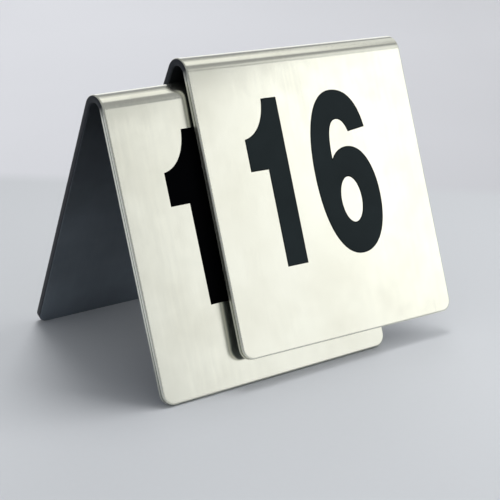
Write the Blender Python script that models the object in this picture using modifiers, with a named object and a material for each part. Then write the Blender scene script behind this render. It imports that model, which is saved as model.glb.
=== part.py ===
"""A stacked pair of folded steel table number tents.

Each tent is one blank of stainless sheet, folded once over a round ridge, with a number enamelled on
both of its faces. The upper tent sits astride the lower one, moved along the ridge, and lifts off.

Units are metres, +Z is up, and X runs along the ridges. The front faces look towards -Y. The origin is at
the middle of the pair's outline, on the surface that the lower tent stands on.
"""

import math

import bmesh
import bpy
from mathutils import Matrix, Vector

MM = 0.001

# The folded blank, the same for both tents.
WIDTH = 50.0 * MM
LEG_LENGTH = 51.8 * MM
THICKNESS = 1.4 * MM
INNER_RADIUS = 1.9 * MM
CORNER_RADIUS = 2.2 * MM
RIM_RADIUS = 0.25 * MM
FOOT_FLAT_DEPTH = 0.12 * MM

# How far each leg leans from upright. The upper tent is sprung open a little further.
LOWER_LEAN = math.radians(22.9)
EXTRA_UPPER_LEAN = math.radians(1.0)

# How the upper tent is stacked on the lower one.
SIDE_SHIFT = 17.1 * MM
SEAT_CLEARANCE = 0.15 * MM
RIDGE_TILT = math.radians(1.2)

# The number on each face: the room left around it, and the enamel that it is made of.
LEFT_MARGIN = 9.35 * MM
RIGHT_MARGIN = 12.05 * MM
UPPER_TOP_MARGIN = 6.15 * MM
UPPER_BOTTOM_MARGIN = 14.75 * MM
LOWER_TOP_MARGIN = 5.20 * MM
LOWER_BOTTOM_MARGIN = 15.25 * MM
FIGURE_SPACE = 5.5 * MM
ENAMEL_THICKNESS = 0.10 * MM
ENAMEL_CLEARANCE = 0.10 * MM

# Smoothness.
RIDGE_STEPS = 18
CORNER_STEPS = 6
RIM_STEPS = 2
FIGURE_CURVE_STEPS = 8
FIGURE_WELD = 0.0001

OUTER_RADIUS = INNER_RADIUS + THICKNESS
UPPER_LEAN = LOWER_LEAN + EXTRA_UPPER_LEAN

# Figure outlines, drawn on a height of 30.9 units and fitted to the face afterwards. A straight stretch is
# the point (x, y) that it ends on, and a curved stretch gives its two Bezier handles before that point.
FIGURE_DRAWN_HEIGHT = 30.9

ONE_DRAWN_WIDTH = 8.6
ONE_START = (0.0, 23.9)
ONE_STRETCHES = (
    ((3.0, 24.3), (4.9, 27.2), (5.2, 30.9)),
    (8.6, 30.9),
    (8.6, 0.0),
    (3.95, 0.0),
    (3.95, 17.95),
    (0.0, 17.95),
    (0.0, 23.9),
)

SIX_DRAWN_WIDTH = 14.5
SIX_START = (13.75, 23.15)
SIX_STRETCHES = (
    ((13.2, 28.1), (10.9, 30.9), (7.15, 30.9)),
    ((2.6, 30.9), (0.0, 24.5), (0.0, 15.55)),
    ((0.0, 6.0), (2.9, -0.35), (7.75, -0.35)),
    ((11.9, -0.35), (14.5, 3.9), (14.5, 10.05)),
    ((14.5, 15.9), (12.2, 19.95), (8.55, 19.95)),
    ((7.0, 19.95), (5.7, 19.3), (4.75, 17.95)),
    ((4.75, 21.9), (5.3, 25.25), (7.25, 25.25)),
    ((8.5, 25.25), (9.2, 24.2), (9.65, 22.65)),
    (13.75, 23.15),
)
SIX_EYE_CENTRE = (7.45, 9.95)
SIX_EYE_RADII = (2.4, 4.3)

FIVE_DRAWN_WIDTH = 14.5
FIVE_START = (2.3, 30.9)
FIVE_STRETCHES = (
    (13.3, 30.9),
    (13.3, 25.6),
    (6.1, 25.6),
    (5.5, 20.1),
    ((6.4, 20.75), (7.5, 21.1), (8.7, 21.1)),
    ((12.3, 21.1), (14.5, 16.7), (14.5, 10.6)),
    ((14.5, 3.9), (11.8, -0.35), (7.1, -0.35)),
    ((2.9, -0.35), (0.3, 2.9), (0.0, 8.2)),
    (4.75, 8.7),
    ((4.95, 6.5), (5.8, 5.3), (7.1, 5.3)),
    ((8.8, 5.3), (9.75, 7.3), (9.75, 10.5)),
    ((9.75, 13.7), (8.8, 15.7), (7.2, 15.7)),
    ((6.1, 15.7), (5.3, 15.0), (4.7, 13.6)),
    (0.75, 13.6),
    (2.3, 30.9),
)


def ridge_height(lean):
    """Height of the fold's centre line over the foot flats."""
    rounding = RIM_RADIUS * (math.cos(lean) + math.sin(lean) - 1.0)
    return LEG_LENGTH * math.cos(lean) - INNER_RADIUS * math.sin(lean) - rounding - FOOT_FLAT_DEPTH


def seat_rise():
    """Height of the upper fold's centre line over the lower one, where the upper tent seats."""
    return (THICKNESS + SEAT_CLEARANCE) / math.sin(UPPER_LEAN) / math.cos(RIDGE_TILT)


def seated_frame():
    """Place of the upper tent: its ridge dips to the right and seats at the lower ridge's right end."""
    turn = Matrix.Rotation(RIDGE_TILT, 4, "Y")
    ridge_left = Vector((
        SIDE_SHIFT,
        0.0,
        ridge_height(LOWER_LEAN) + seat_rise() + (WIDTH - SIDE_SHIFT) * math.tan(RIDGE_TILT),
    ))
    own_ridge_left = turn @ Vector((0.0, 0.0, ridge_height(UPPER_LEAN)))
    return Matrix.Translation(ridge_left - own_ridge_left) @ turn


def pair_length():
    """Length of the stacked pair, up to the right end of the upper ridge."""
    top_right = Vector((WIDTH, 0.0, ridge_height(UPPER_LEAN) + OUTER_RADIUS))
    return (seated_frame() @ top_right).x


def make_material(name, colour, metallic, roughness):
    """One Principled material."""
    material = bpy.data.materials.new(name)
    material.use_nodes = True
    shader = material.node_tree.nodes["Principled BSDF"]
    shader.inputs["Base Color"].default_value = (*colour, 1.0)
    shader.inputs["Metallic"].default_value = metallic
    shader.inputs["Roughness"].default_value = roughness
    material.diffuse_color = (*colour, 1.0)
    return material


def brushed_steel():
    """Pale, warm, brushed stainless steel."""
    return make_material("brushed_stainless", (0.78, 0.77, 0.72), 1.0, 0.34)


def black_enamel():
    """Near-black enamel of the figures."""
    return make_material("black_enamel", (0.012, 0.014, 0.018), 0.0, 0.35)


def clear_scene():
    """Remove the objects that the scene starts with."""
    for old in list(bpy.data.objects):
        bpy.data.objects.remove(old, do_unlink=True)


def new_collection(name):
    """A collection linked to the scene."""
    collection = bpy.data.collections.new(name)
    bpy.context.scene.collection.children.link(collection)
    return collection


def new_frame(name, matrix, collection):
    """An empty that carries the pieces of one tent."""
    empty = bpy.data.objects.new(name, None)
    empty.empty_display_size = 10.0 * MM
    collection.objects.link(empty)
    empty.matrix_world = matrix
    return empty


def outer_profile(lean):
    """Points (y, z) of the blank's outer face, from the front foot over the ridge to the back foot."""
    centre = Vector((0.0, ridge_height(lean)))
    ridge = []
    for step in range(RIDGE_STEPS + 1):
        angle = math.pi - lean - step * (math.pi - 2.0 * lean) / RIDGE_STEPS
        ridge.append(centre + OUTER_RADIUS * Vector((math.cos(angle), math.sin(angle))))
    down = LEG_LENGTH * Vector((math.sin(lean), -math.cos(lean)))
    front_foot = ridge[0] + Vector((-down.x, down.y))
    back_foot = ridge[-1] + down
    return [front_foot, *ridge, back_foot]


def make_blank(name, lean, collection):
    """The outer face of a folded blank, with its four foot corners rounded, as an open surface."""
    mesh = bpy.data.meshes.new(name)
    shape = bmesh.new()
    rows = []
    for y, z in outer_profile(lean):
        rows.append([shape.verts.new((0.0, y, z)), shape.verts.new((WIDTH, y, z))])
    for low, high in zip(rows, rows[1:]):
        shape.faces.new((low[0], low[1], high[1], high[0]))
    bmesh.ops.bevel(
        shape,
        geom=rows[0] + rows[-1],
        offset=CORNER_RADIUS,
        offset_type="OFFSET",
        segments=CORNER_STEPS,
        profile=0.5,
        affect="VERTICES",
    )
    bmesh.ops.recalc_face_normals(shape, faces=shape.faces)
    shape.to_mesh(mesh)
    shape.free()
    sheet = bpy.data.objects.new(name, mesh)
    collection.objects.link(sheet)
    return sheet


def make_foot_cutter(name, collection):
    """A slab under the feet, which leaves the small flats that a tent stands on."""
    reach = WIDTH + 2.0 * LEG_LENGTH
    mesh = bpy.data.meshes.new(name)
    shape = bmesh.new()
    bmesh.ops.create_cube(shape, size=reach)
    bmesh.ops.translate(shape, verts=shape.verts, vec=(0.5 * WIDTH, 0.0, -0.5 * reach))
    shape.to_mesh(mesh)
    shape.free()
    cutter = bpy.data.objects.new(name, mesh)
    cutter.hide_render = True
    cutter.display_type = "WIRE"
    collection.objects.link(cutter)
    return cutter


def make_sheet(name, lean, frame, collection, cutters, steel):
    """One folded sheet: the blank, its thickness, its deburred rim and its foot flats."""
    sheet = make_blank(name, lean, collection)
    sheet.data.materials.append(steel)
    sheet.parent = frame
    wall = sheet.modifiers.new("sheet_thickness", "SOLIDIFY")
    wall.thickness = THICKNESS
    wall.offset = -1.0
    wall.use_even_offset = True
    wall.use_quality_normals = True
    rim = sheet.modifiers.new("deburred_rim", "BEVEL")
    rim.width = RIM_RADIUS
    rim.segments = RIM_STEPS
    rim.limit_method = "ANGLE"
    rim.angle_limit = math.radians(60.0)
    cutter = make_foot_cutter(name + "_foot_cutter", cutters)
    cutter.parent = frame
    feet = sheet.modifiers.new("foot_flats", "BOOLEAN")
    feet.operation = "DIFFERENCE"
    feet.solver = "EXACT"
    feet.object = cutter
    sheet.data.shade_smooth()
    sheet.data.set_sharp_from_angle(angle=math.radians(35.0))
    return sheet


def add_outline(curve, start, stretches):
    """Add one closed outline of straight and curved stretches to a flat curve."""
    spline = curve.splines.new("BEZIER")
    spline.use_cyclic_u = True
    spline.resolution_u = FIGURE_CURVE_STEPS
    points = [start]
    for stretch in stretches:
        points.append(stretch[2] if isinstance(stretch[0], tuple) else stretch)
    count = len(stretches)
    spline.bezier_points.add(count - 1)
    for index, stretch in enumerate(stretches):
        here = points[index]
        there = points[index + 1]
        first = spline.bezier_points[index]
        second = spline.bezier_points[(index + 1) % count]
        curved = isinstance(stretch[0], tuple)
        leave = stretch[0] if curved else here
        arrive = stretch[1] if curved else there
        first.co = (*here, 0.0)
        first.handle_right_type = "FREE"
        first.handle_right = (*leave, 0.0)
        second.handle_left_type = "FREE"
        second.handle_left = (*arrive, 0.0)


def add_eye(curve, centre, radii):
    """Add an oval hole to a flat curve."""
    spline = curve.splines.new("POLY")
    spline.use_cyclic_u = True
    steps = 4 * FIGURE_CURVE_STEPS
    spline.points.add(steps - 1)
    for step, point in enumerate(spline.points):
        angle = 2.0 * math.pi * step / steps
        x = centre[0] + radii[0] * math.cos(angle)
        y = centre[1] + radii[1] * math.sin(angle)
        point.co = (x, y, 0.0, 1.0)


def figure_one(curve):
    """Draw the figure 1."""
    add_outline(curve, ONE_START, ONE_STRETCHES)


def figure_five(curve):
    """Draw the figure 5."""
    add_outline(curve, FIVE_START, FIVE_STRETCHES)


def figure_six(curve):
    """Draw the figure 6."""
    add_outline(curve, SIX_START, SIX_STRETCHES)
    add_eye(curve, SIX_EYE_CENTRE, SIX_EYE_RADII)


FIGURES = {
    "one": (figure_one, ONE_DRAWN_WIDTH),
    "five": (figure_five, FIVE_DRAWN_WIDTH),
    "six": (figure_six, SIX_DRAWN_WIDTH),
}

MARGINS = {
    "lower": (LOWER_TOP_MARGIN, LOWER_BOTTOM_MARGIN),
    "upper": (UPPER_TOP_MARGIN, UPPER_BOTTOM_MARGIN),
}


def face_matrix(lean, side):
    """Frame on a leg's outer face: x to the reader's right, y up the leg, z out of the steel."""
    foot = outer_profile(lean)[0]
    axes = Matrix((
        (1.0, 0.0, 0.0, -0.5 * WIDTH),
        (0.0, math.sin(lean), -math.cos(lean), foot.x),
        (0.0, math.cos(lean), math.sin(lean), foot.y),
        (0.0, 0.0, 0.0, 1.0),
    ))
    turn = Matrix.Rotation(math.pi if side == "back" else 0.0, 4, "Z")
    return Matrix.Translation((0.5 * WIDTH, 0.0, 0.0)) @ turn @ axes


def make_figure(name, word, on_face, frame, collection, enamel):
    """One enamelled figure, drawn flat and fitted to its place on a face."""
    draw = FIGURES[word][0]
    curve = bpy.data.curves.new(name, "CURVE")
    curve.dimensions = "2D"
    curve.fill_mode = "BOTH"
    curve.extrude = 0.5
    curve.render_resolution_u = 0
    draw(curve)
    curve.materials.append(enamel)
    figure = bpy.data.objects.new(name, curve)
    collection.objects.link(figure)
    figure.parent = frame
    figure.matrix_local = on_face
    weld = figure.modifiers.new("closed_caps", "WELD")
    weld.merge_threshold = FIGURE_WELD
    return figure


def make_number(prefix, words, lean, side, frame, collection, enamel):
    """The two figures of a number, spread over the room between the margins."""
    on_face = face_matrix(lean, side)
    drawn_width = sum(FIGURES[word][1] for word in words)
    room = WIDTH - LEFT_MARGIN - RIGHT_MARGIN - FIGURE_SPACE
    scale_x = room / drawn_width
    top, bottom = MARGINS[prefix]
    scale_y = (LEG_LENGTH - top - bottom) / FIGURE_DRAWN_HEIGHT
    fitted = Matrix.Diagonal((scale_x, scale_y, ENAMEL_THICKNESS, 1.0))
    middle = ENAMEL_CLEARANCE + 0.5 * ENAMEL_THICKNESS
    left = LEFT_MARGIN
    for word in words:
        place = on_face @ Matrix.Translation((left, bottom, middle)) @ fitted
        make_figure(f"{prefix}_{side}_{word}", word, place, frame, collection, enamel)
        left += FIGURES[word][1] * scale_x + FIGURE_SPACE


def make_tent(prefix, words, lean, place, collection, cutters, steel, enamel):
    """One tent: its folded sheet, and the same number on the front and on the back."""
    frame = new_frame(prefix + "_frame", place, collection)
    make_sheet(prefix + "_sheet", lean, frame, collection, cutters, steel)
    for side in ("front", "back"):
        make_number(prefix, words, lean, side, frame, collection, enamel)


def main():
    """Build the stacked pair."""
    clear_scene()
    parts = new_collection("table_number_tents")
    cutters = new_collection("cutters")
    steel = brushed_steel()
    enamel = black_enamel()
    centred = Matrix.Translation((-0.5 * pair_length(), 0.0, 0.0))
    make_tent("lower", ("one", "five"), LOWER_LEAN, centred, parts, cutters, steel, enamel)
    seated = centred @ seated_frame()
    make_tent("upper", ("one", "six"), UPPER_LEAN, seated, parts, cutters, steel, enamel)


main()
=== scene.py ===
"""A stacked pair of folded steel table number tents, on a pale studio floor.

Laid out as an add-on and run as a script. Sizes are metres, +Z is up, the ridges run along X, and the front
faces look towards -Y.
"""

import math

import bmesh
import bpy
from bpy.props import FloatProperty, FloatVectorProperty, PointerProperty
from bpy.types import Operator, Panel, PropertyGroup
from mathutils import Matrix, Vector
from mathutils.geometry import tessellate_polygon


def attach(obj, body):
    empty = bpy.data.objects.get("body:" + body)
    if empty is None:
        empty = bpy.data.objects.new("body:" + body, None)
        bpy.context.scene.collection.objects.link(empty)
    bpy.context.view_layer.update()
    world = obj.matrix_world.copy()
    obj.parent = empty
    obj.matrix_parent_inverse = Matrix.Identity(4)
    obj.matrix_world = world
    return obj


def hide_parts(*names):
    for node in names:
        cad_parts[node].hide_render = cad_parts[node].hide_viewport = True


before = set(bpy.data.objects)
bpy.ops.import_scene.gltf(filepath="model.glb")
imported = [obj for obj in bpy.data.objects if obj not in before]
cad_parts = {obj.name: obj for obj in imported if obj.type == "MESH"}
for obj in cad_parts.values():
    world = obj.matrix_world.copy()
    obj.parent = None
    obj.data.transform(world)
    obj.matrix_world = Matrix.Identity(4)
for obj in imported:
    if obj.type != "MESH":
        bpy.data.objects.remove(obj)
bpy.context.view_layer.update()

bl_info = {
    "name": "Table number tents",
    "version": (1, 0, 0),
    "blender": (4, 5, 0),
    "location": "3D View > Sidebar > Table numbers",
    "description": "Makes a stacked pair of folded steel table number tents and their studio stage",
    "category": "Object",
}

MM = 0.001

# Rows of the folded sheet's mesh, on each side of the ridge.
RIDGE_ROWS = 26
LEG_ROWS = 10
CORNER_ROWS = 10
SHEET_COLUMNS = 16

# Rings round the deburred rim, the narrow strip of face beside it, and the merge distance of the two halves.
RIM_STEPS = 4
SUPPORT_WIDTH = 0.10 * MM
CLOSING_DISTANCE = 0.001 * MM

# The developed sheet is laid out on its UV map at this scale, so that 100 mm is one unit.
BLANK_SCALE = 10.0

# Figure outlines, drawn on a height of 30.9 units. A straight stretch is the point that it ends on, and a
# curved stretch gives its two handles before that point.
FIGURE_DRAWN_HEIGHT = 30.9
FIGURE_CURVE_STEPS = 16

# A turn above this is a sharp corner, and the curve points this near to one are left out.
SHARP_TURN = math.radians(25.0)
CORNER_CLEARANCE = 0.5
MITRE_LIMIT = 0.5

# How deep the enamel is rooted in the steel, in mm, and its shoulder as shares of its width and height.
PRINT_ROOT = 0.02
SHOULDER_PROFILE = ((0.0, 0.45), (0.35, 0.87), (1.0, 1.0))

ONE = {
    "width": 8.6,
    "start": (0.0, 23.9),
    "stretches": (
        ((3.0, 24.3), (4.9, 27.2), (5.2, 30.9)),
        (8.6, 30.9),
        (8.6, 0.0),
        (3.95, 0.0),
        (3.95, 17.95),
        (0.0, 17.95),
        (0.0, 23.9),
    ),
    "eye": None,
}

SIX = {
    "width": 14.5,
    "start": (13.75, 23.15),
    "stretches": (
        ((13.2, 28.1), (10.9, 30.9), (7.15, 30.9)),
        ((2.6, 30.9), (0.0, 24.5), (0.0, 15.55)),
        ((0.0, 6.0), (2.9, -0.35), (7.75, -0.35)),
        ((11.9, -0.35), (14.5, 3.9), (14.5, 10.05)),
        ((14.5, 15.9), (12.2, 19.95), (8.55, 19.95)),
        ((7.0, 19.95), (5.7, 19.3), (4.75, 17.95)),
        ((4.75, 21.9), (5.3, 25.25), (7.25, 25.25)),
        ((8.5, 25.25), (9.2, 24.2), (9.65, 22.65)),
        (13.75, 23.15),
    ),
    "eye": ((7.45, 9.95), (2.4, 4.3)),
}

FIVE = {
    "width": 14.5,
    "start": (2.3, 30.9),
    "stretches": (
        (13.3, 30.9),
        (13.3, 25.6),
        (6.1, 25.6),
        (5.5, 20.1),
        ((6.4, 20.75), (7.5, 21.1), (8.7, 21.1)),
        ((12.3, 21.1), (14.5, 16.7), (14.5, 10.6)),
        ((14.5, 3.9), (11.8, -0.35), (7.1, -0.35)),
        ((2.9, -0.35), (0.3, 2.9), (0.0, 8.2)),
        (4.75, 8.7),
        ((4.95, 6.5), (5.8, 5.3), (7.1, 5.3)),
        ((8.8, 5.3), (9.75, 7.3), (9.75, 10.5)),
        ((9.75, 13.7), (8.8, 15.7), (7.2, 15.7)),
        ((6.1, 15.7), (5.3, 15.0), (4.7, 13.6)),
        (0.75, 13.6),
        (2.3, 30.9),
    ),
    "eye": None,
}

FIGURES = {"one": ONE, "five": FIVE, "six": SIX}
NUMBERS = {"lower": ("one", "five"), "upper": ("one", "six")}

# The light: every softbox's name, its bearing, elevation, width and height in degrees as seen from the tents,
# and its brightness. The wash softboxes light the floor, and the mirrored ones show only in the steel and
# the enamel.
WASH_SOFTBOXES = (
    ("high_key", 140, 70, 24, 24, 8.5),
    ("right_wash", 80, 35, 24, 24, 4.0),
    ("front_wash", 50, 35, 24, 24, 2.5),
    ("back_wash", 140, 35, 24, 24, 2.0),
)
MIRRORED_SOFTBOXES = (
    ("front_panel", 50, 20, 15, 20, 1.2),
    ("front_wing", 35, 20, 15, 20, 0.8),
    ("front_low", 42, 5, 30, 10, 0.5),
    ("front_high", 60, 37, 24, 12, 0.65),
    ("side_panel", 88, 15, 60, 30, 0.25),
    ("left_fill", 12, 10, 30, 20, 0.2),
    ("overhead", 97, 60, 26, 20, 0.75),
    ("overhead_right", 135, 60, 14, 20, 0.45),
    ("zenith", 85, 80, 30, 12, 0.35),
    ("right_high", 110, 36, 26, 24, 0.45),
    ("back_panel", 150, 12, 60, 24, 0.85),
    ("left_side", -120, 30, 60, 40, 0.25),
)
LIGHT_DISTANCE = 0.70
LIGHT_TARGET = (0.0, 0.0, 0.03)

# The steel's noise scales: across and along the blank for the brushing, and in space for the marks.
HAIR_GRAIN = (1100.0, 9.0, 1.0)
STREAK_GRAIN = (130.0, 3.0, 1.0)
SMUDGE_SCALE = 60.0
MOTTLE_SCALE = 330.0

# Where the cut edge and the inside begin, as depth from 0 on the outer face to 1 on the inner one.
CUT_ZONE = (0.03, 0.14)
INNER_ZONE = (0.93, 0.995)
BREAK_DEPTH = 0.42
BREAK_FADE = (0.14, 0.05)

# Along the blank, in its UV units from the ridge: the front legs' cut edges with a painted highlight, and the
# painted shade of the inside.
LIT_EDGE_ZONE = (-0.030, -0.055)
INNER_SHADE_FADE = (0.04, 0.50)
INNER_SHADE_TONES = (0.35, 2.1)

# The enamel's and the floor's noise scales, and how deep the relief of steel and enamel is.
ENAMEL_CLOUD_SCALE = 90.0
ENAMEL_PEEL_SCALE = 1800.0
FLOOR_CLOUD_SCALE = 9.0
FLOOR_FLECK_SCALE = 900.0
STEEL_RELIEF = 0.008 * MM
ENAMEL_RELIEF = 0.02 * MM

# The floor's colour darkens away from the camera up to its far line, and beyond that from left to right, a
# painted shade of the light's falloff.
FLOOR_RADIUS = 4.0
FAR_LINE_SOFTNESS = 4.0 * MM
NEAR_SHADE_START = -20.0 * MM
NEAR_SHADE_LEAST = 0.85
FAR_SHADE_SPAN = (-90.0 * MM, 80.0 * MM)
FAR_SHADE_LEAST = 0.765

# The camera's lens and place.
LENS = 105.56
SENSOR_WIDTH = 36.0
CAMERA_PLACE = (-0.158479, -0.212016, 0.112559)


def length(name, description, default):
    """A size in metres."""
    return FloatProperty(
        name=name, description=description, default=default, min=0.0, precision=5, unit="LENGTH"
    )


def angle(name, description, degrees):
    """An angle, given in degrees."""
    return FloatProperty(
        name=name, description=description, default=math.radians(degrees), unit="ROTATION"
    )


def colour(name, description, default):
    """A linear colour."""
    return FloatVectorProperty(
        name=name, description=description, default=default, min=0.0, max=1.0, size=3, subtype="COLOR"
    )


def amount(name, description, default):
    """A plain number that isn't negative."""
    return FloatProperty(name=name, description=description, default=default, min=0.0, precision=3)


class TentSizes(PropertyGroup):
    """Sizes of the folded blanks and of their stack."""

    width: length("Width", "Length of the ridge", 50.0 * MM)
    leg_length: length("Leg length", "Outer face of a leg, from the fold to the foot", 51.8 * MM)
    thickness: length("Thickness", "Thickness of the sheet", 1.4 * MM)
    inner_radius: length("Inner radius", "Inner radius of the fold", 1.9 * MM)
    corner_radius: length("Corner radius", "Rounding of the four foot corners", 2.2 * MM)
    rim_radius: length("Rim radius", "Rounding of the deburred edges", 0.25 * MM)
    foot_flat: length("Foot flat", "Depth of the small flats under the feet", 0.12 * MM)
    lower_lean: angle("Lower lean", "Lean of the lower tent's legs from upright", 22.9)
    extra_lean: angle("Extra lean", "How much further the upper tent is sprung open", 1.0)
    side_shift: length("Side shift", "How far the upper tent sits along the ridge", 17.1 * MM)
    seat_clearance: length("Seat clearance", "Gap between the sheets at the seat", 0.15 * MM)
    ridge_tilt: angle("Ridge tilt", "How far the upper ridge dips to the right", 1.2)


class NumberSizes(PropertyGroup):
    """Room and thickness of the printed numbers."""

    left_margin: length("Left margin", "Steel left of the number", 9.35 * MM)
    right_margin: length("Right margin", "Steel right of the number", 12.05 * MM)
    upper_top: length("Upper top margin", "Steel between the upper fold and its number", 6.15 * MM)
    upper_bottom: length("Upper bottom margin", "Steel under the upper number", 14.75 * MM)
    lower_top: length("Lower top margin", "Steel between the lower fold and its number", 5.20 * MM)
    lower_bottom: length("Lower bottom margin", "Steel under the lower number", 15.25 * MM)
    figure_space: length("Figure space", "Gap between the two figures", 5.5 * MM)
    print_thickness: length("Print thickness", "How far the enamel stands proud", 0.05 * MM)
    shoulder: length("Shoulder", "Width of the enamel's rounded shoulder", 0.05 * MM)
    bead: length("Bead", "Width of the denser bead along the outline", 0.35 * MM)


class Finishes(PropertyGroup):
    """Colours and gloss of the steel and the enamel, painted light and shade among them."""

    steel: colour("Steel", "Clean brushed steel", (0.80, 0.795, 0.685))
    smudged_steel: colour("Smudged steel", "Steel under handling marks", (0.755, 0.745, 0.63))
    # Painted light on the cut edges: a bright colour as painted highlight on the front legs' edges, and a
    # near-black colour as painted shade on the edges of the fold and the back legs.
    front_edge_highlight: colour("Polished edge", "Dressed edges of the front legs", (0.96, 0.96, 0.86))
    break_line: colour("Break line", "Break line along the sheared edges", (0.22, 0.23, 0.20))
    cut_edge_shade: colour("Sheared edge", "Edges of the fold and the back legs", (0.030, 0.033, 0.038))
    # Painted shade: the inside of the fold gets a dark steel colour in place of the shade it lies in.
    inner_painted_shade: colour("Inner steel", "Unbrushed inside of the fold", (0.165, 0.185, 0.205))
    steel_roughness: amount("Steel roughness", "Mean roughness of the brushed faces", 0.18)
    # One black enamel in two copies: the upper tent's is painted lighter as a painted sheen, the lower tent's
    # near pure black as painted shade, and their gloss differs the same way.
    upper_enamel_painted_sheen: colour("Upper enamel", "Enamel of the upper tent", (0.0165, 0.0230, 0.0245))
    lower_enamel_painted_shade: colour("Lower enamel", "Enamel of the lower tent", (0.0005, 0.0006, 0.0010))
    upper_gloss: amount("Upper gloss", "Mirror strength of the upper enamel", 0.05)
    lower_gloss: amount("Lower gloss", "Mirror strength of the lower enamel", 0.01)
    enamel_roughness: amount("Enamel roughness", "Mean roughness of the enamel", 0.38)


class StageLook(PropertyGroup):
    """Floor, light and camera."""

    floor: colour("Floor", "Floor that the tents stand on", (0.603, 0.619, 0.637))
    far_floor: colour("Far floor", "Floor behind the tents", (0.620, 0.6235, 0.649))
    far_line: length("Far line", "Where the far floor begins, behind the tents", 90.0 * MM)
    sky: amount("Sky", "Brightness of the surroundings", 0.404)
    wash: amount("Wash", "Strength of the softboxes that light the floor", 1.0)
    mirrored: amount("Mirrored light", "Strength of the softboxes that the steel mirrors", 1.0)
    heading: angle("Heading", "Turn of the camera about the upright", -36.927)
    pitch: angle("Pitch", "How far the camera looks down", 20.168)
    roll: angle("Roll", "Turn of the camera about its own axis", 1.788)


class TableNumberSettings(PropertyGroup):
    """Everything that a user would change."""

    tents: PointerProperty(type=TentSizes)
    numbers: PointerProperty(type=NumberSizes)
    finishes: PointerProperty(type=Finishes)
    stage: PointerProperty(type=StageLook)


def settings():
    """The settings of the open scene."""
    return bpy.context.scene.table_numbers


# ---- the stack's rule, the same as the solid model's ----


def outer_radius(tents):
    """Outer radius of the fold."""
    return tents.inner_radius + tents.thickness


def ridge_height(tents, lean):
    """Height of the fold's centre line over the foot flats."""
    rounding = tents.rim_radius * (math.cos(lean) + math.sin(lean) - 1.0)
    drop = tents.inner_radius * math.sin(lean) + rounding + tents.foot_flat
    return tents.leg_length * math.cos(lean) - drop


def upper_lean(tents):
    """Lean of the upper tent's legs."""
    return tents.lower_lean + tents.extra_lean


def seated_frame(tents):
    """Place of the upper tent on the lower one, in the lower tent's frame."""
    lean = upper_lean(tents)
    turn = Matrix.Rotation(tents.ridge_tilt, 4, "Y")
    rise = (tents.thickness + tents.seat_clearance) / math.sin(lean) / math.cos(tents.ridge_tilt)
    rise += (tents.width - tents.side_shift) * math.tan(tents.ridge_tilt)
    seat = Vector((tents.side_shift, 0.0, ridge_height(tents, tents.lower_lean) + rise))
    own_ridge = turn @ Vector((0.0, 0.0, ridge_height(tents, lean)))
    return Matrix.Translation(seat - own_ridge) @ turn


def tent_frames(tents):
    """Frames of the two tents: ridge along X from 0, feet on Z 0."""
    top = ridge_height(tents, upper_lean(tents)) + outer_radius(tents)
    pair_length = (seated_frame(tents) @ Vector((tents.width, 0.0, top))).x
    lower = Matrix.Translation((-0.5 * pair_length, 0.0, 0.0))
    return {"lower": lower, "upper": lower @ seated_frame(tents)}


def tent_lean(tents, tent):
    """Lean of one tent's legs."""
    return upper_lean(tents) if tent == "upper" else tents.lower_lean


def face_matrix(tents, lean, side):
    """Frame on a leg's outer face: x to the reader's right, y up the leg, z out of the steel."""
    half_ridge = outer_radius(tents) * math.cos(lean)
    foot_y = -half_ridge - tents.leg_length * math.sin(lean)
    fold_z = ridge_height(tents, lean) + outer_radius(tents) * math.sin(lean)
    foot_z = fold_z - tents.leg_length * math.cos(lean)
    axes = Matrix((
        (1.0, 0.0, 0.0, -0.5 * tents.width),
        (0.0, math.sin(lean), -math.cos(lean), foot_y),
        (0.0, math.cos(lean), math.sin(lean), foot_z),
        (0.0, 0.0, 0.0, 1.0),
    ))
    turn = Matrix.Rotation(math.pi if side == "back" else 0.0, 4, "Z")
    return Matrix.Translation((0.5 * tents.width, 0.0, 0.0)) @ turn @ axes


# ---- node helpers ----


def feed(tree, socket, value):
    """Give a socket a link or a plain value."""
    if isinstance(value, bpy.types.NodeSocket):
        tree.links.new(value, socket)
    else:
        socket.default_value = value


def calc(tree, operation, *terms):
    """Result of a Math node."""
    node = tree.nodes.new("ShaderNodeMath")
    node.operation = operation
    for socket, term in zip(node.inputs, terms):
        feed(tree, socket, term)
    return node.outputs["Value"]


def combine(tree, x, y, z):
    """A vector from three terms."""
    node = tree.nodes.new("ShaderNodeCombineXYZ")
    for socket, term in zip(node.inputs, (x, y, z)):
        feed(tree, socket, term)
    return node.outputs["Vector"]


def vector_calc(tree, operation, *terms):
    """Result of a Vector Math node."""
    node = tree.nodes.new("ShaderNodeVectorMath")
    node.operation = operation
    for socket, term in zip(node.inputs, terms):
        feed(tree, socket, term)
    return node.outputs["Vector"]


def stretch(tree, value, low, high, to_low, to_high):
    """A clamped Map Range of a value."""
    node = tree.nodes.new("ShaderNodeMapRange")
    node.clamp = True
    names = ("Value", "From Min", "From Max", "To Min", "To Max")
    for name, term in zip(names, (value, low, high, to_low, to_high)):
        feed(tree, node.inputs[name], term)
    return node.outputs["Result"]


# ---- the folded sheet ----

SHEET_INPUTS = (
    ("Width", "width"),
    ("Leg Length", "leg_length"),
    ("Thickness", "thickness"),
    ("Inner Radius", "inner_radius"),
    ("Corner Radius", "corner_radius"),
    ("Rim Radius", "rim_radius"),
    ("Foot Flat", "foot_flat"),
)


def move_points(tree, geometry, position, selection=None):
    """Set Position to an absolute rule."""
    node = tree.nodes.new("GeometryNodeSetPosition")
    feed(tree, node.inputs["Geometry"], geometry)
    feed(tree, node.inputs["Position"], position)
    if selection is not None:
        feed(tree, node.inputs["Selection"], selection)
    return node.outputs["Geometry"]


def store(tree, geometry, name, kind, domain, value):
    """Store a named attribute."""
    node = tree.nodes.new("GeometryNodeStoreNamedAttribute")
    node.data_type = kind
    node.domain = domain
    feed(tree, node.inputs["Geometry"], geometry)
    feed(tree, node.inputs["Name"], name)
    feed(tree, node.inputs["Value"], value)
    return node.outputs["Geometry"]


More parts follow.
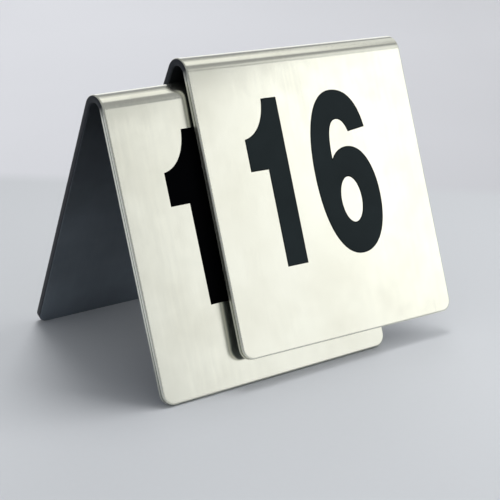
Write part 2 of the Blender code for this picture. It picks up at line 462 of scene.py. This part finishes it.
def flat_face(tree, size, half_arc):
    """One face of the flat blank, drawn in from its outline by the rim and a narrow support strip."""
    rows = RIDGE_ROWS + LEG_ROWS + CORNER_ROWS
    grid = tree.nodes.new("GeometryNodeMeshGrid")
    grid.inputs["Size X"].default_value = 1.0
    grid.inputs["Size Y"].default_value = 2.0 * rows
    grid.inputs["Vertices X"].default_value = SHEET_COLUMNS + 1
    grid.inputs["Vertices Y"].default_value = 2 * rows + 1
    place = tree.nodes.new("GeometryNodeInputPosition").outputs["Position"]
    parts = tree.nodes.new("ShaderNodeSeparateXYZ")
    feed(tree, parts.inputs["Vector"], place)
    row = calc(tree, "ABSOLUTE", parts.outputs["Y"])
    side = calc(tree, "SIGN", parts.outputs["Y"])
    ridge_part = stretch(tree, row, 0.0, RIDGE_ROWS, 0.0, half_arc)
    straight = calc(tree, "SUBTRACT", size["Leg Length"], size["Corner Radius"])
    leg_part = stretch(tree, row, RIDGE_ROWS, RIDGE_ROWS + LEG_ROWS, 0.0, straight)
    turn = stretch(tree, row, RIDGE_ROWS + LEG_ROWS, rows, 0.0, 0.5 * math.pi)
    inset = calc(tree, "ADD", size["Rim Radius"], SUPPORT_WIDTH)
    radius = calc(tree, "SUBTRACT", size["Corner Radius"], inset)
    corner_part = calc(tree, "MULTIPLY", radius, calc(tree, "SINE", turn))
    along = calc(tree, "ADD", calc(tree, "ADD", ridge_part, leg_part), corner_part)
    half_width = calc(tree, "SUBTRACT", calc(tree, "MULTIPLY", size["Width"], 0.5), size["Corner Radius"])
    half_width = calc(tree, "MULTIPLY_ADD", radius, calc(tree, "COSINE", turn), half_width)
    across = calc(tree, "MULTIPLY", calc(tree, "MULTIPLY", parts.outputs["X"], 2.0), half_width)
    across = calc(tree, "MULTIPLY_ADD", size["Width"], 0.5, across)
    laid = combine(tree, across, calc(tree, "MULTIPLY", side, along), 0.0)
    return move_points(tree, grid.outputs["Mesh"], laid)


def outward(tree, size, half_arc):
    """Direction out of the blank's rounded outline, at each of its points."""
    place = tree.nodes.new("GeometryNodeInputPosition").outputs["Position"]
    reach = calc(tree, "ADD", half_arc, calc(tree, "SUBTRACT", size["Leg Length"], size["Corner Radius"]))
    right = calc(tree, "SUBTRACT", size["Width"], size["Corner Radius"])
    low = combine(tree, size["Corner Radius"], calc(tree, "MULTIPLY", reach, -1.0), 0.0)
    high = combine(tree, right, reach, 0.0)
    level = vector_calc(tree, "MULTIPLY", place, (1.0, 1.0, 0.0))
    nearest = vector_calc(tree, "MINIMUM", vector_calc(tree, "MAXIMUM", level, low), high)
    return vector_calc(tree, "NORMALIZE", vector_calc(tree, "SUBTRACT", level, nearest))


def add_ring(tree, geometry, selection, size, half_arc, out, down):
    """Extrude the border by one ring, out of the outline and down through the thickness."""
    extrude = tree.nodes.new("GeometryNodeExtrudeMesh")
    extrude.mode = "EDGES"
    feed(tree, extrude.inputs["Mesh"], geometry)
    feed(tree, extrude.inputs["Selection"], selection)
    extrude.inputs["Offset Scale"].default_value = 0.0
    place = tree.nodes.new("GeometryNodeInputPosition").outputs["Position"]
    direction = outward(tree, size, half_arc)
    shift = tree.nodes.new("ShaderNodeVectorMath")
    shift.operation = "SCALE"
    feed(tree, shift.inputs[0], direction)
    feed(tree, shift.inputs["Scale"], out)
    drop = combine(tree, 0.0, 0.0, calc(tree, "MULTIPLY", down, -1.0))
    moved = vector_calc(tree, "ADD", vector_calc(tree, "ADD", place, shift.outputs["Vector"]), drop)
    top = extrude.outputs["Top"]
    return move_points(tree, extrude.outputs["Mesh"], moved, top), top


def bent(tree, size, lean, half_angle, fold_radius):
    """Place of a flat blank's points once it is folded over the ridge."""
    place = tree.nodes.new("GeometryNodeInputPosition").outputs["Position"]
    parts = tree.nodes.new("ShaderNodeSeparateXYZ")
    feed(tree, parts.inputs["Vector"], place)
    turned = calc(tree, "DIVIDE", parts.outputs["Y"], fold_radius)
    turned = calc(tree, "MAXIMUM", turned, calc(tree, "MULTIPLY", half_angle, -1.0))
    turned = calc(tree, "MINIMUM", turned, half_angle)
    left_over = calc(tree, "SUBTRACT", parts.outputs["Y"], calc(tree, "MULTIPLY", fold_radius, turned))
    radius = calc(tree, "ADD", fold_radius, parts.outputs["Z"])
    sine = calc(tree, "SINE", turned)
    cosine = calc(tree, "COSINE", turned)
    y = calc(tree, "MULTIPLY_ADD", radius, sine, calc(tree, "MULTIPLY", left_over, cosine))
    sunk = calc(tree, "MULTIPLY", left_over, sine)
    z = calc(tree, "SUBTRACT", calc(tree, "MULTIPLY", radius, cosine), sunk)
    lean_cosine = calc(tree, "COSINE", lean)
    lean_sine = calc(tree, "SINE", lean)
    height = calc(tree, "MULTIPLY", size["Leg Length"], lean_cosine)
    height = calc(tree, "SUBTRACT", height, calc(tree, "MULTIPLY", size["Inner Radius"], lean_sine))
    spread = calc(tree, "SUBTRACT", calc(tree, "ADD", lean_cosine, lean_sine), 1.0)
    height = calc(tree, "SUBTRACT", height, calc(tree, "MULTIPLY", size["Rim Radius"], spread))
    height = calc(tree, "SUBTRACT", height, size["Foot Flat"])
    stood = calc(tree, "MAXIMUM", calc(tree, "ADD", z, height), 0.0)
    return combine(tree, parts.outputs["X"], y, stood)


def folded_sheet_tree():
    """Geometry Nodes rule: a flat rounded blank with real thickness and a deburred rim, folded once."""
    tree = bpy.data.node_groups.new("Folded sheet", "GeometryNodeTree")
    tree.interface.new_socket("Geometry", in_out="OUTPUT", socket_type="NodeSocketGeometry")
    sockets = {}
    for name in [row[0] for row in SHEET_INPUTS] + ["Lean"]:
        socket = tree.interface.new_socket(name, in_out="INPUT", socket_type="NodeSocketFloat")
        sockets[name] = socket.identifier
    socket = tree.interface.new_socket("Steel", in_out="INPUT", socket_type="NodeSocketMaterial")
    sockets["Steel"] = socket.identifier
    size = tree.nodes.new("NodeGroupInput").outputs
    lean = size["Lean"]
    half_angle = calc(tree, "SUBTRACT", 0.5 * math.pi, lean)
    fold_radius = calc(tree, "ADD", size["Inner Radius"], size["Thickness"])
    half_arc = calc(tree, "MULTIPLY", half_angle, fold_radius)

    half = flat_face(tree, size, half_arc)
    neighbours = tree.nodes.new("GeometryNodeInputMeshEdgeNeighbors").outputs["Face Count"]
    border = calc(tree, "COMPARE", neighbours, 1.0, 0.1)
    half, border = add_ring(tree, half, border, size, half_arc, SUPPORT_WIDTH, 0.0)
    for step in range(RIM_STEPS):
        here = 0.5 * math.pi * step / RIM_STEPS
        there = 0.5 * math.pi * (step + 1) / RIM_STEPS
        out = calc(tree, "MULTIPLY", size["Rim Radius"], math.sin(there) - math.sin(here))
        down = calc(tree, "MULTIPLY", size["Rim Radius"], math.cos(here) - math.cos(there))
        half, border = add_ring(tree, half, border, size, half_arc, out, down)
    last_drop = calc(tree, "SUBTRACT", calc(tree, "MULTIPLY", size["Thickness"], 0.5), size["Rim Radius"])
    half, border = add_ring(tree, half, border, size, half_arc, 0.0, last_drop)

    mirrored = tree.nodes.new("GeometryNodeTransform")
    feed(tree, mirrored.inputs["Geometry"], half)
    mirrored.inputs["Scale"].default_value = (1.0, 1.0, -1.0)
    drop = combine(tree, 0.0, 0.0, calc(tree, "MULTIPLY", size["Thickness"], -1.0))
    feed(tree, mirrored.inputs["Translation"], drop)
    flipped = tree.nodes.new("GeometryNodeFlipFaces")
    feed(tree, flipped.inputs["Mesh"], mirrored.outputs["Geometry"])
    joined = tree.nodes.new("GeometryNodeJoinGeometry")
    tree.links.new(flipped.outputs["Mesh"], joined.inputs["Geometry"])
    tree.links.new(half, joined.inputs["Geometry"])
    closed = tree.nodes.new("GeometryNodeMergeByDistance")
    feed(tree, closed.inputs["Geometry"], joined.outputs["Geometry"])
    closed.inputs["Distance"].default_value = CLOSING_DISTANCE

    place = tree.nodes.new("GeometryNodeInputPosition").outputs["Position"]
    parts = tree.nodes.new("ShaderNodeSeparateXYZ")
    feed(tree, parts.inputs["Vector"], place)
    scaled = tree.nodes.new("ShaderNodeVectorMath")
    scaled.operation = "SCALE"
    feed(tree, scaled.inputs[0], place)
    scaled.inputs["Scale"].default_value = BLANK_SCALE
    sheet = store(tree, closed.outputs["Geometry"], "blank", "FLOAT2", "CORNER", scaled.outputs["Vector"])
    depth = calc(tree, "DIVIDE", calc(tree, "MULTIPLY", parts.outputs["Z"], -1.0), size["Thickness"])
    sheet = store(tree, sheet, "depth", "FLOAT", "POINT", depth)
    sheet = move_points(tree, sheet, bent(tree, size, lean, half_angle, fold_radius))

    smooth = tree.nodes.new("GeometryNodeSetShadeSmooth")
    feed(tree, smooth.inputs["Geometry"], sheet)
    real = tree.nodes.new("GeometryNodeRealizeInstances")
    feed(tree, real.inputs["Geometry"], smooth.outputs["Geometry"])
    steel = tree.nodes.new("GeometryNodeSetMaterial")
    feed(tree, steel.inputs["Geometry"], real.outputs["Geometry"])
    feed(tree, steel.inputs["Material"], size["Steel"])
    out = tree.nodes.new("NodeGroupOutput")
    feed(tree, out.inputs["Geometry"], steel.outputs["Geometry"])
    return tree, sockets


def folded_sheet(name, tents, lean, place, steel):
    """One folded sheet as a plain mesh, in its place."""
    tree, sockets = folded_sheet_tree()
    sheet = bpy.data.objects.new(name, bpy.data.meshes.new(name))
    bpy.context.scene.collection.objects.link(sheet)
    rule = sheet.modifiers.new("folded_sheet", "NODES")
    rule.node_group = tree
    for socket, prop in SHEET_INPUTS:
        rule[sockets[socket]] = getattr(tents, prop)
    rule[sockets["Lean"]] = lean
    rule[sockets["Steel"]] = steel
    graph = bpy.context.evaluated_depsgraph_get()
    mesh = bpy.data.meshes.new_from_object(sheet.evaluated_get(graph), depsgraph=graph)
    sheet.modifiers.remove(rule)
    sheet.data = mesh
    mesh.name = name
    mesh.transform(place)
    outwards(mesh)
    return sheet


def outwards(mesh):
    """Turn the faces of a closed mesh outwards."""
    shape = bmesh.new()
    shape.from_mesh(mesh)
    bmesh.ops.recalc_face_normals(shape, faces=shape.faces)
    shape.to_mesh(mesh)
    shape.free()
    mesh.update()


# ---- the printed figures ----


def drawn_points(drawn):
    """A figure's outline as a ring of points, anticlockwise, thinned beside its sharp corners."""
    points = [Vector(drawn["start"])]
    for part in drawn["stretches"]:
        if not isinstance(part[0], tuple):
            points.append(Vector(part))
            continue
        start = points[-1].copy()
        leave, arrive, end = (Vector(point) for point in part)
        for step in range(1, FIGURE_CURVE_STEPS + 1):
            t = step / FIGURE_CURVE_STEPS
            u = 1.0 - t
            points.append(u**3 * start + 3 * u * u * t * leave + 3 * u * t * t * arrive + t**3 * end)
    points.pop()
    if signed_area(points) < 0.0:
        points.reverse()
    sharp = [turn_at(points, index) > SHARP_TURN for index in range(len(points))]
    corners = [point for point, is_sharp in zip(points, sharp) if is_sharp]
    kept = []
    for point, is_sharp in zip(points, sharp):
        clear = all((point - corner).length > CORNER_CLEARANCE for corner in corners)
        if is_sharp or clear:
            kept.append(point)
    return kept


def eye_points(drawn):
    """A figure's oval hole as a ring of points, clockwise."""
    centre, radii = drawn["eye"]
    steps = 4 * FIGURE_CURVE_STEPS
    ring = []
    for step in range(steps):
        turn = -2.0 * math.pi * step / steps
        ring.append(Vector((centre[0] + radii[0] * math.cos(turn), centre[1] + radii[1] * math.sin(turn))))
    return ring


def signed_area(points):
    """Area of a ring of points, positive if it runs anticlockwise."""
    return 0.5 * sum(a.x * b.y - b.x * a.y for a, b in zip(points, points[1:] + points[:1]))


def turn_at(points, index):
    """How sharply a ring turns at one of its points."""
    here = points[index]
    before = here - points[index - 1]
    after = points[(index + 1) % len(points)] - here
    return abs(before.angle_signed(after, 0.0))


def drawn_in(points, width):
    """A ring of points moved into the ink, with its corners mitred."""
    moved = []
    for index, here in enumerate(points):
        before = (here - points[index - 1]).normalized()
        after = (points[(index + 1) % len(points)] - here).normalized()
        first = Vector((-before.y, before.x))
        second = Vector((-after.y, after.x))
        middle = (first + second).normalized()
        moved.append(here + middle * width / max(middle.dot(first), MITRE_LIMIT))
    return moved


def raised_figure(name, drawn, fit, numbers, enamel):
    """A thin enamel figure with a rounded shoulder and a denser bead, in units of one millimetre."""
    outlines = [drawn_points(drawn)]
    if drawn["eye"] is not None:
        outlines.append(eye_points(drawn))
    outlines = [[Vector((fit[0] * point.x, fit[1] * point.y)) for point in ring] for ring in outlines]
    top = numbers.print_thickness / MM
    shoulder = numbers.shoulder / MM
    steps = [(0.0, -PRINT_ROOT, 1.0)]
    steps += [(wide * shoulder, high * top, 1.0) for wide, high in SHOULDER_PROFILE]
    steps.append((numbers.bead / MM, top, 0.0))
    shape = bmesh.new()
    bead = shape.verts.layers.float.new("bead")
    layers = []
    for width, height, value in steps:
        rings = []
        for outline in outlines:
            ring = [shape.verts.new((*point, height)) for point in drawn_in(outline, width)]
            for vert in ring:
                vert[bead] = value
            rings.append(ring)
        layers.append(rings)
    for lower, upper in zip(layers, layers[1:]):
        for low, high in zip(lower, upper):
            for index in range(len(low)):
                after = (index + 1) % len(low)
                shape.faces.new((low[index], low[after], high[after], high[index]))
    for rings, is_top in ((layers[0], False), (layers[-1], True)):
        flat = [vert for ring in rings for vert in ring]
        for triple in tessellate_polygon([[vert.co for vert in ring] for ring in rings]):
            corners = [flat[index] for index in triple]
            normal = (corners[1].co - corners[0].co).cross(corners[2].co - corners[0].co)
            if (normal.z > 0.0) != is_top:
                corners.reverse()
            shape.faces.new(corners)
    for face in shape.faces:
        face.smooth = True
    mesh = bpy.data.meshes.new(name)
    shape.to_mesh(mesh)
    shape.free()
    mesh.materials.append(enamel)
    figure = bpy.data.objects.new(name, mesh)
    bpy.context.scene.collection.objects.link(figure)
    return figure


# ---- finishes ----


def new_material(name):
    """A node material and its Principled shader."""
    material = bpy.data.materials.new(name)
    material.use_nodes = True
    return material, material.node_tree, material.node_tree.nodes["Principled BSDF"]


def noise(tree, vector, scale, detail=2.0, roughness=0.5):
    """A Noise texture's value."""
    node = tree.nodes.new("ShaderNodeTexNoise")
    feed(tree, node.inputs["Vector"], vector)
    node.inputs["Scale"].default_value = scale
    node.inputs["Detail"].default_value = detail
    node.inputs["Roughness"].default_value = roughness
    return node.outputs["Fac"]


def mix_colour(tree, factor, first, second):
    """A colour between two others."""
    node = tree.nodes.new("ShaderNodeMix")
    node.data_type = "RGBA"
    feed(tree, node.inputs["Factor"], factor)
    for socket, value in ((node.inputs[6], first), (node.inputs[7], second)):
        feed(tree, socket, value if isinstance(value, bpy.types.NodeSocket) else (*value, 1.0))
    return node.outputs[2]


def attribute(tree, name):
    """A named attribute's value."""
    node = tree.nodes.new("ShaderNodeAttribute")
    node.attribute_name = name
    return node.outputs["Fac"]


def object_place(tree):
    """Object coordinates."""
    return tree.nodes.new("ShaderNodeTexCoord").outputs["Object"]


def scaled(tree, vector, factors):
    """A vector times fixed factors."""
    return vector_calc(tree, "MULTIPLY", vector, factors)


def brushed_steel(finishes):
    """Stainless sheet, brushed up the legs and over the fold, with handling marks, a painted highlight on the
    front legs' cut edges, and painted shade on the other cut edges and on the inside.
    """
    material, tree, shader = new_material("brushed_stainless")
    blank = tree.nodes.new("ShaderNodeUVMap")
    blank.uv_map = "blank"
    on_blank = blank.outputs["UV"]
    place = object_place(tree)
    hair = noise(tree, scaled(tree, on_blank, HAIR_GRAIN), 1.0, 3.0, 0.6)
    streak = noise(tree, scaled(tree, on_blank, STREAK_GRAIN), 1.0, 2.0, 0.5)
    smudge = noise(tree, place, SMUDGE_SCALE, 3.0, 0.55)
    mottle = noise(tree, place, MOTTLE_SCALE, 2.0, 0.5)

    depth = attribute(tree, "depth")
    cut = stretch(tree, depth, *CUT_ZONE, 0.0, 1.0)
    from_break = calc(tree, "ABSOLUTE", calc(tree, "SUBTRACT", depth, BREAK_DEPTH))
    break_line = stretch(tree, from_break, *BREAK_FADE, 0.0, 1.0)
    inside = stretch(tree, depth, *INNER_ZONE, 0.0, 1.0)
    blank_parts = tree.nodes.new("ShaderNodeSeparateXYZ")
    feed(tree, blank_parts.inputs["Vector"], on_blank)
    lit_front_edge = stretch(tree, blank_parts.outputs["Y"], *LIT_EDGE_ZONE, 0.0, 1.0)
    from_ridge = calc(tree, "ABSOLUTE", blank_parts.outputs["Y"])
    inner_shade_ramp = stretch(tree, from_ridge, *INNER_SHADE_FADE, *INNER_SHADE_TONES)

    marks = stretch(tree, smudge, 0.40, 0.72, 0.0, 1.0)
    marks = calc(tree, "MULTIPLY_ADD", calc(tree, "SUBTRACT", mottle, 0.5), 0.5, marks)
    clean = mix_colour(tree, marks, tuple(finishes.steel), tuple(finishes.smudged_steel))
    dim = stretch(tree, calc(tree, "MULTIPLY_ADD", streak, 0.4, hair), 0.45, 0.95, 0.965, 1.0)
    brushed = tree.nodes.new("ShaderNodeMix")
    brushed.data_type = "RGBA"
    brushed.blend_type = "MULTIPLY"
    brushed.inputs["Factor"].default_value = 1.0
    feed(tree, brushed.inputs[6], clean)
    feed(tree, brushed.inputs[7], combine(tree, dim, dim, dim))
    # Cut edges: a painted highlight along the front legs with the break line across it, and painted shade
    # along the fold and the back legs.
    broken = calc(tree, "MULTIPLY", break_line, 0.85)
    highlight_and_break = mix_colour(tree, broken, tuple(finishes.front_edge_highlight), tuple(finishes.break_line))
    edge = mix_colour(tree, lit_front_edge, tuple(finishes.cut_edge_shade), highlight_and_break)
    sheared = mix_colour(tree, cut, brushed.outputs[2], edge)
    # Painted shade on the inside: darkest near the ridge, lighter down the legs, varied by the smudges.
    smudge_and_inner_shade = calc(tree, "MULTIPLY", stretch(tree, smudge, 0.3, 0.7, 0.8, 1.1), inner_shade_ramp)
    inner_shade_colour = vector_calc(tree, "MULTIPLY", tuple(finishes.inner_painted_shade), combine(tree, smudge_and_inner_shade, smudge_and_inner_shade, smudge_and_inner_shade))
    feed(tree, shader.inputs["Base Color"], mix_colour(tree, inside, sheared, inner_shade_colour))
    shader.inputs["Metallic"].default_value = 1.0

    mean = finishes.steel_roughness
    rough = stretch(tree, streak, 0.3, 0.7, mean - 0.02, mean + 0.02)
    rough = calc(tree, "MULTIPLY_ADD", calc(tree, "SUBTRACT", mottle, 0.5), 0.05, rough)
    rough = calc(tree, "MULTIPLY_ADD", marks, 0.03, rough)
    rough = calc(tree, "MULTIPLY_ADD", cut, 0.20, rough)
    rough = calc(tree, "MULTIPLY_ADD", inside, 0.14, rough)
    feed(tree, shader.inputs["Roughness"], rough)
    shader.inputs["Anisotropic"].default_value = 0.35
    grain = tree.nodes.new("ShaderNodeTangent")
    grain.direction_type = "UV_MAP"
    grain.uv_map = "blank"
    tree.links.new(grain.outputs["Tangent"], shader.inputs["Tangent"])

    relief = calc(tree, "MULTIPLY_ADD", streak, 0.6, hair)
    relief = calc(tree, "MULTIPLY_ADD", mottle, 0.5, relief)
    bump = tree.nodes.new("ShaderNodeBump")
    bump.inputs["Strength"].default_value = 0.10
    bump.inputs["Distance"].default_value = STEEL_RELIEF
    feed(tree, bump.inputs["Height"], relief)
    feed(tree, shader.inputs["Normal"], bump.outputs["Normal"])
    return material


def black_enamel(name, tint, gloss, finishes):
    """Baked enamel with a faint orange peel and a denser bead along its outline."""
    material, tree, shader = new_material(name)
    place = object_place(tree)
    cloud = noise(tree, place, ENAMEL_CLOUD_SCALE, 3.0, 0.5)
    peel = noise(tree, place, ENAMEL_PEEL_SCALE, 2.0, 0.5)
    bead = attribute(tree, "bead")
    deep = tuple(0.35 * part for part in tint)
    worn = tuple(min(1.0, 1.25 * part) for part in tint)
    body = mix_colour(tree, stretch(tree, cloud, 0.35, 0.65, 0.0, 1.0), tuple(tint), worn)
    edged = mix_colour(tree, stretch(tree, bead, 0.25, 0.95, 0.0, 1.0), body, deep)
    feed(tree, shader.inputs["Base Color"], edged)
    mean = finishes.enamel_roughness
    rough = stretch(tree, cloud, 0.3, 0.7, mean - 0.04, mean + 0.04)
    rough = calc(tree, "MULTIPLY_ADD", calc(tree, "SUBTRACT", peel, 0.5), 0.08, rough)
    feed(tree, shader.inputs["Roughness"], rough)
    shader.inputs["Specular IOR Level"].default_value = gloss
    bump = tree.nodes.new("ShaderNodeBump")
    bump.inputs["Strength"].default_value = 0.15
    bump.inputs["Distance"].default_value = ENAMEL_RELIEF
    feed(tree, bump.inputs["Height"], peel)
    feed(tree, shader.inputs["Normal"], bump.outputs["Normal"])
    return material


def floor_finish(look):
    """Pale matt floor, darkened away from the camera by painted shade, that starts a shade lighter behind the
    tents.
    """
    material, tree, shader = new_material("pale_floor")
    place = object_place(tree)
    parts = tree.nodes.new("ShaderNodeSeparateXYZ")
    feed(tree, parts.inputs["Vector"], place)
    behind_x = calc(tree, "MULTIPLY", parts.outputs["X"], -math.sin(look.heading))
    behind = calc(tree, "MULTIPLY_ADD", parts.outputs["Y"], math.cos(look.heading), behind_x)
    across_x = calc(tree, "MULTIPLY", parts.outputs["X"], math.cos(look.heading))
    across = calc(tree, "MULTIPLY_ADD", parts.outputs["Y"], math.sin(look.heading), across_x)
    far_start = look.far_line - FAR_LINE_SOFTNESS
    far = stretch(tree, behind, far_start, look.far_line + FAR_LINE_SOFTNESS, 0.0, 1.0)
    # Painted shade: the floor's colour is darkened away from the camera, and beyond the far line from left to
    # right, in place of the light's falloff.
    near_shade = stretch(tree, behind, NEAR_SHADE_START, look.far_line, 1.0, NEAR_SHADE_LEAST)
    far_shade = stretch(tree, across, *FAR_SHADE_SPAN, 1.0, FAR_SHADE_LEAST)
    painted_floor_shade = calc(tree, "MULTIPLY_ADD", far, calc(tree, "SUBTRACT", far_shade, near_shade), near_shade)
    tone = mix_colour(tree, far, tuple(look.floor), tuple(look.far_floor))
    cloud = noise(tree, place, FLOOR_CLOUD_SCALE, 2.0, 0.5)
    fleck = noise(tree, place, FLOOR_FLECK_SCALE, 2.0, 0.5)
    shade = stretch(tree, cloud, 0.3, 0.7, 0.985, 1.015)
    shade = calc(tree, "MULTIPLY_ADD", calc(tree, "SUBTRACT", fleck, 0.5), 0.02, shade)
    shade = calc(tree, "MULTIPLY", shade, painted_floor_shade)
    tinted = tree.nodes.new("ShaderNodeMix")
    tinted.data_type = "RGBA"
    tinted.blend_type = "MULTIPLY"
    tinted.inputs["Factor"].default_value = 1.0
    feed(tree, tinted.inputs[6], tone)
    feed(tree, tinted.inputs[7], combine(tree, shade, shade, shade))
    feed(tree, shader.inputs["Base Color"], tinted.outputs[2])
    shader.inputs["Roughness"].default_value = 0.6
    shader.inputs["Specular IOR Level"].default_value = 0.2
    return material


# ---- the stage ----


def softbox(name, bearing, elevation, width, height, brightness):
    """A rectangular softbox round the tents, its bearing from -Y towards +X, all angles in degrees."""
    around = math.radians(bearing)
    above = math.radians(elevation)
    level = math.cos(above)
    place = LIGHT_DISTANCE * Vector((math.sin(around) * level, -math.cos(around) * level, math.sin(above)))
    lamp = bpy.data.lights.new(name, "AREA")
    lamp.shape = "RECTANGLE"
    lamp.size = 2.0 * LIGHT_DISTANCE * math.tan(0.5 * math.radians(width))
    lamp.size_y = 2.0 * LIGHT_DISTANCE * math.tan(0.5 * math.radians(height))
    lamp.energy = math.pi * lamp.size * lamp.size_y * brightness
    box = bpy.data.objects.new(name, lamp)
    bpy.context.scene.collection.objects.link(box)
    turn = (Vector(LIGHT_TARGET) - place).to_track_quat("-Z", "Y").to_matrix().to_4x4()
    box.matrix_world = Matrix.Translation(place) @ turn
    box.visible_camera = False
    return box


def make_lights(look):
    """The softboxes that light the floor, and those that the steel mirrors."""
    for name, bearing, elevation, width, height, brightness in WASH_SOFTBOXES:
        box = softbox(name, bearing, elevation, width, height, brightness * look.wash)
        box.visible_glossy = False
    for name, bearing, elevation, width, height, brightness in MIRRORED_SOFTBOXES:
        box = softbox(name, bearing, elevation, width, height, brightness * look.mirrored)
        box.visible_diffuse = False


def make_floor(look):
    """A wide round floor."""
    mesh = bpy.data.meshes.new("floor")
    shape = bmesh.new()
    bmesh.ops.create_circle(shape, cap_ends=True, segments=96, radius=FLOOR_RADIUS)
    bmesh.ops.recalc_face_normals(shape, faces=shape.faces)
    for face in shape.faces:
        if face.normal.z < 0.0:
            face.normal_flip()
    shape.to_mesh(mesh)
    shape.free()
    mesh.materials.append(floor_finish(look))
    floor = bpy.data.objects.new("floor", mesh)
    bpy.context.scene.collection.objects.link(floor)
    return floor


def make_world(look):
    """Pale even surroundings, a little brighter overhead."""
    world = bpy.data.worlds.new("studio")
    world.use_nodes = True
    bpy.context.scene.world = world
    tree = world.node_tree
    background = tree.nodes["Background"]
    direction = tree.nodes.new("ShaderNodeTexCoord").outputs["Generated"]
    parts = tree.nodes.new("ShaderNodeSeparateXYZ")
    feed(tree, parts.inputs["Vector"], direction)
    up = stretch(tree, parts.outputs["Z"], 0.0, 1.0, 0.0, 1.0)
    feed(tree, background.inputs["Color"], mix_colour(tree, up, (0.86, 0.91, 1.0), (0.95, 0.97, 1.0)))
    background.inputs["Strength"].default_value = look.sky


def make_camera(look):
    """The camera, at the front left and above."""
    lens = bpy.data.cameras.new("camera")
    lens.sensor_width = SENSOR_WIDTH
    lens.lens = LENS
    lens.clip_start = 0.01
    lens.clip_end = 20.0
    camera = bpy.data.objects.new("camera", lens)
    bpy.context.scene.collection.objects.link(camera)
    turn = Matrix.Rotation(look.heading, 4, "Z")
    tip = Matrix.Rotation(0.5 * math.pi - look.pitch, 4, "X")
    roll = Matrix.Rotation(look.roll, 4, "Z")
    place = Matrix.Translation(CAMERA_PLACE)
    camera.matrix_world = place @ turn @ tip @ roll
    bpy.context.scene.camera = camera
    return camera


class TABLENUMBERS_OT_sheets(Operator):
    """Make the two folded steel sheets"""

    bl_idname = "table_numbers.sheets"
    bl_label = "Folded sheets"

    def execute(self, context):
        tents = settings().tents
        steel = brushed_steel(settings().finishes)
        for tent, place in tent_frames(tents).items():
            sheet = folded_sheet(tent + "_folded_sheet", tents, tent_lean(tents, tent), place, steel)
            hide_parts(tent + "_sheet")
            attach(sheet, tent + "_tent")
        return {"FINISHED"}


class TABLENUMBERS_OT_numbers(Operator):
    """Make the enamel figures on the four faces"""

    bl_idname = "table_numbers.numbers"
    bl_label = "Enamel numbers"

    def execute(self, context):
        tents = settings().tents
        numbers = settings().numbers
        finishes = settings().finishes
        room = tents.width - numbers.left_margin - numbers.right_margin - numbers.figure_space
        for tent, place in tent_frames(tents).items():
            # Each tent gets its own copy of the enamel: lighter with painted sheen on the upper tent, darker
            # with painted shade on the lower one.
            tint = finishes.upper_enamel_painted_sheen if tent == "upper" else finishes.lower_enamel_painted_shade
            gloss = finishes.upper_gloss if tent == "upper" else finishes.lower_gloss
            enamel = black_enamel(tent + "_black_enamel", tint, gloss, finishes)
            words = NUMBERS[tent]
            top = numbers.upper_top if tent == "upper" else numbers.lower_top
            bottom = numbers.upper_bottom if tent == "upper" else numbers.lower_bottom
            height = tents.leg_length - top - bottom
            drawn_width = sum(FIGURES[word]["width"] for word in words)
            fit = (room / drawn_width / MM, height / FIGURE_DRAWN_HEIGHT / MM)
            for side in ("front", "back"):
                on_face = place @ face_matrix(tents, tent_lean(tents, tent), side)
                left = numbers.left_margin
                for word in words:
                    name = f"{tent}_{side}_{word}"
                    figure = raised_figure(name + "_print", FIGURES[word], fit, numbers, enamel)
                    spot = Matrix.Translation((left, bottom, 0.0)) @ Matrix.Scale(MM, 4)
                    figure.data.transform(on_face @ spot)
                    figure.data.update()
                    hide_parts(name)
                    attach(figure, tent + "_tent")
                    left += FIGURES[word]["width"] * room / drawn_width + numbers.figure_space
        return {"FINISHED"}


class TABLENUMBERS_OT_stage(Operator):
    """Make the floor, the soft light and the camera"""

    bl_idname = "table_numbers.stage"
    bl_label = "Stage"

    def execute(self, context):
        look = settings().stage
        make_floor(look)
        make_world(look)
        make_camera(look)
        make_lights(look)
        context.scene.view_settings.view_transform = "Standard"
        return {"FINISHED"}


class TABLENUMBERS_PT_sidebar(Panel):
    """Buttons and sizes in the sidebar"""

    bl_idname = "TABLENUMBERS_PT_sidebar"
    bl_label = "Table numbers"
    bl_space_type = "VIEW_3D"
    bl_region_type = "UI"
    bl_category = "Table numbers"

    def draw(self, context):
        layout = self.layout
        for kind in (TABLENUMBERS_OT_sheets, TABLENUMBERS_OT_numbers, TABLENUMBERS_OT_stage):
            layout.operator(kind.bl_idname)
        chosen = context.scene.table_numbers
        for group in (chosen.tents, chosen.numbers, chosen.finishes, chosen.stage):
            box = layout.box()
            for name in group.__annotations__:
                box.prop(group, name)


CLASSES = (
    TentSizes,
    NumberSizes,
    Finishes,
    StageLook,
    TableNumberSettings,
    TABLENUMBERS_OT_sheets,
    TABLENUMBERS_OT_numbers,
    TABLENUMBERS_OT_stage,
    TABLENUMBERS_PT_sidebar,
)


def register():
    """Register the classes and the scene's settings."""
    for kind in CLASSES:
        bpy.utils.register_class(kind)
    bpy.types.Scene.table_numbers = PointerProperty(type=TableNumberSettings)


def unregister():
    """Remove the settings and the classes."""
    del bpy.types.Scene.table_numbers
    for kind in reversed(CLASSES):
        bpy.utils.unregister_class(kind)


def main():
    """Make the tents and the stage."""
    register()
    bpy.ops.table_numbers.sheets()
    bpy.ops.table_numbers.numbers()
    bpy.ops.table_numbers.stage()


if __name__ == "__main__":
    main()
